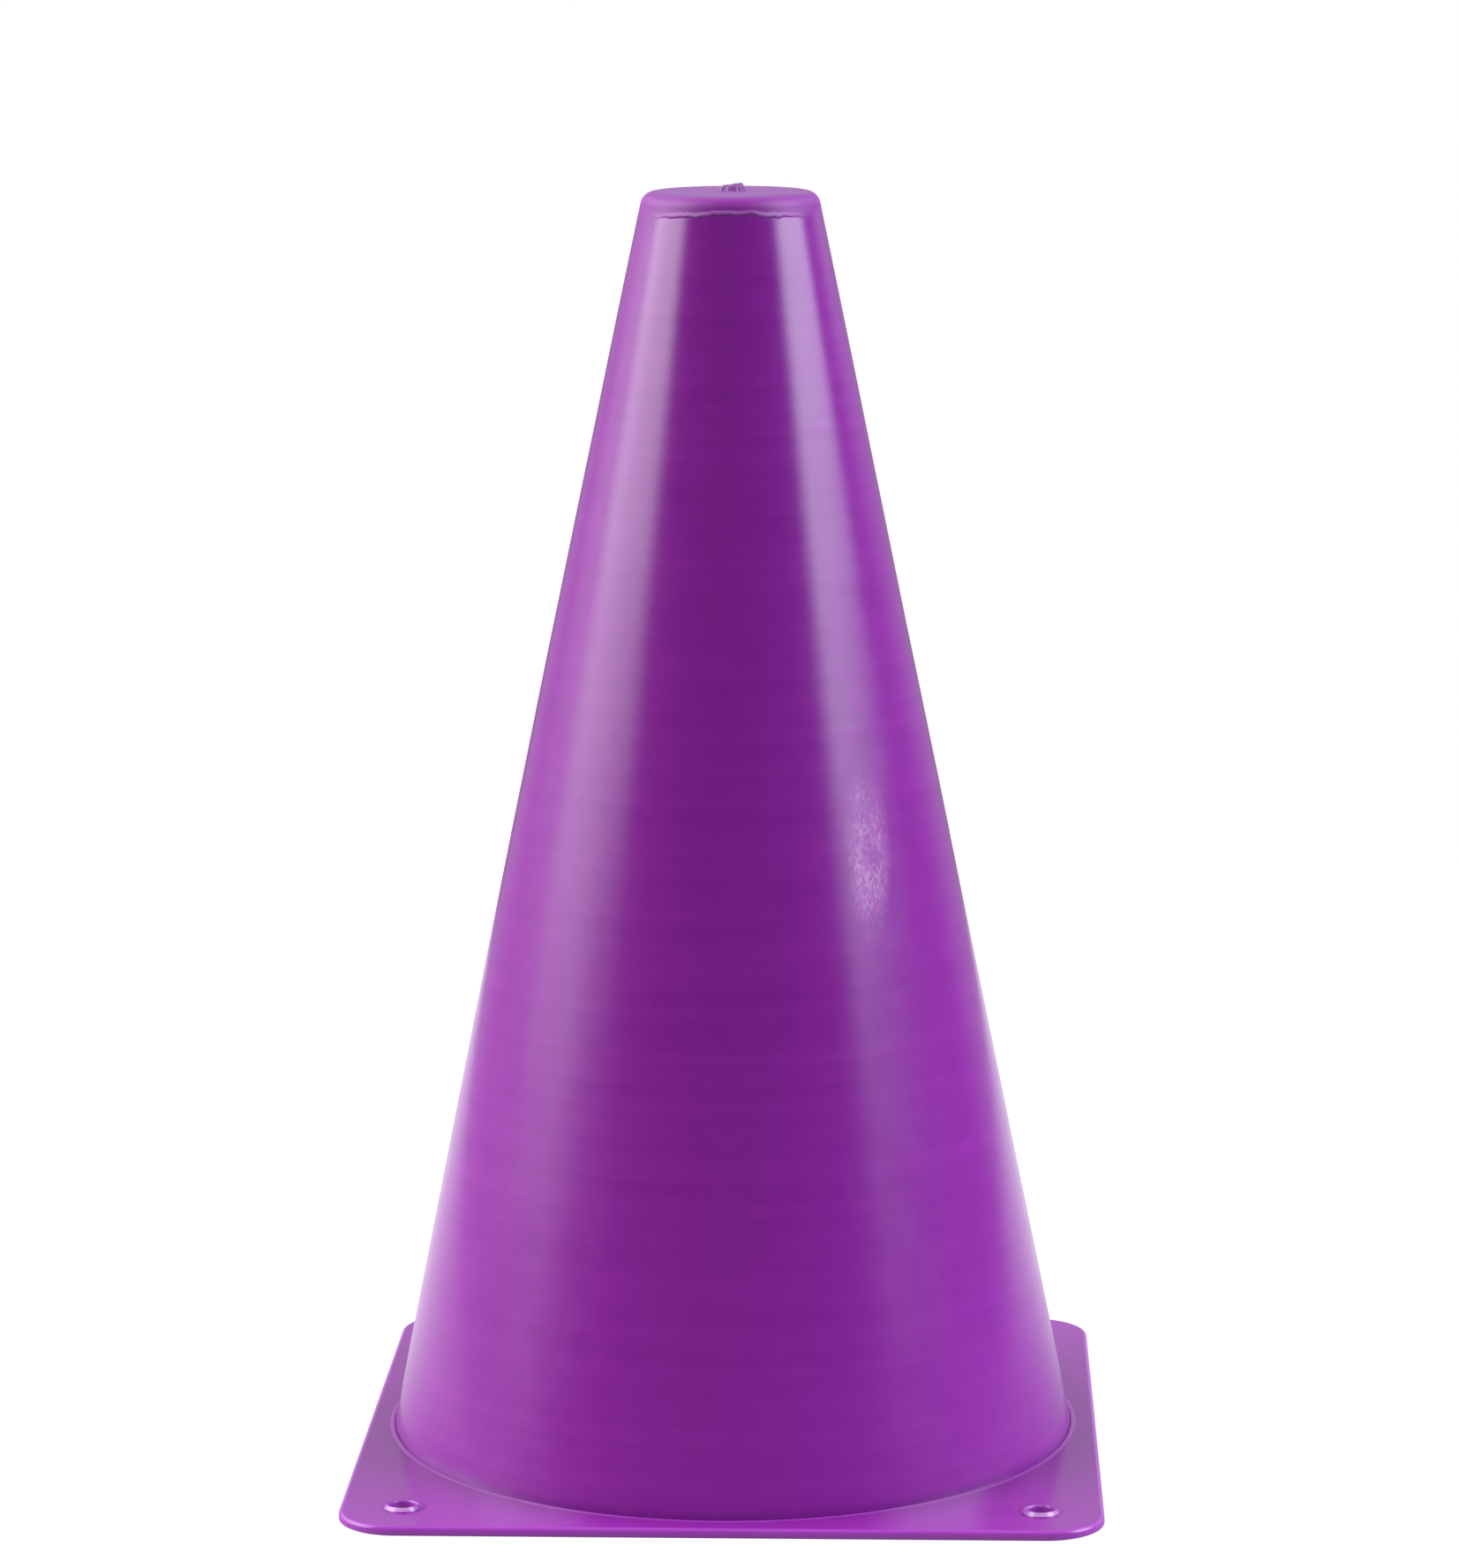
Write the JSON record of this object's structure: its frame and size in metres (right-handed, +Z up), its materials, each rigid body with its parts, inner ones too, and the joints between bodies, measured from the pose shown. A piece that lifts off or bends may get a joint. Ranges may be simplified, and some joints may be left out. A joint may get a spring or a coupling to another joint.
{
  "type": "sports marker cone",
  "caption": "Small free-standing marker cone: hollow tapered plastic shell with a closed crown on a square base plate with corner holes.",
  "frame": {"origin": "on the floor, under the centre of the square base plate, on the axis of the cone", "axes": "+Z up along the cone's axis, X and Y along the sides of the base plate, -Y towards the front"},
  "size_m": [0.1354, 0.1354, 0.2318],
  "materials": {
    "plate_plastic": "satin purple polyethylene, moulded",
    "shell_plastic": "satin purple polyethylene, moulded, with faint flow marks",
    "crown_plastic": "satin purple polyethylene, moulded, with a torn gate"
  },
  "bodies": {
    "root": {"base_plate": "plate_plastic", "cone_shell": "shell_plastic", "crown_cap": "crown_plastic"}
  },
  "joints": []
}
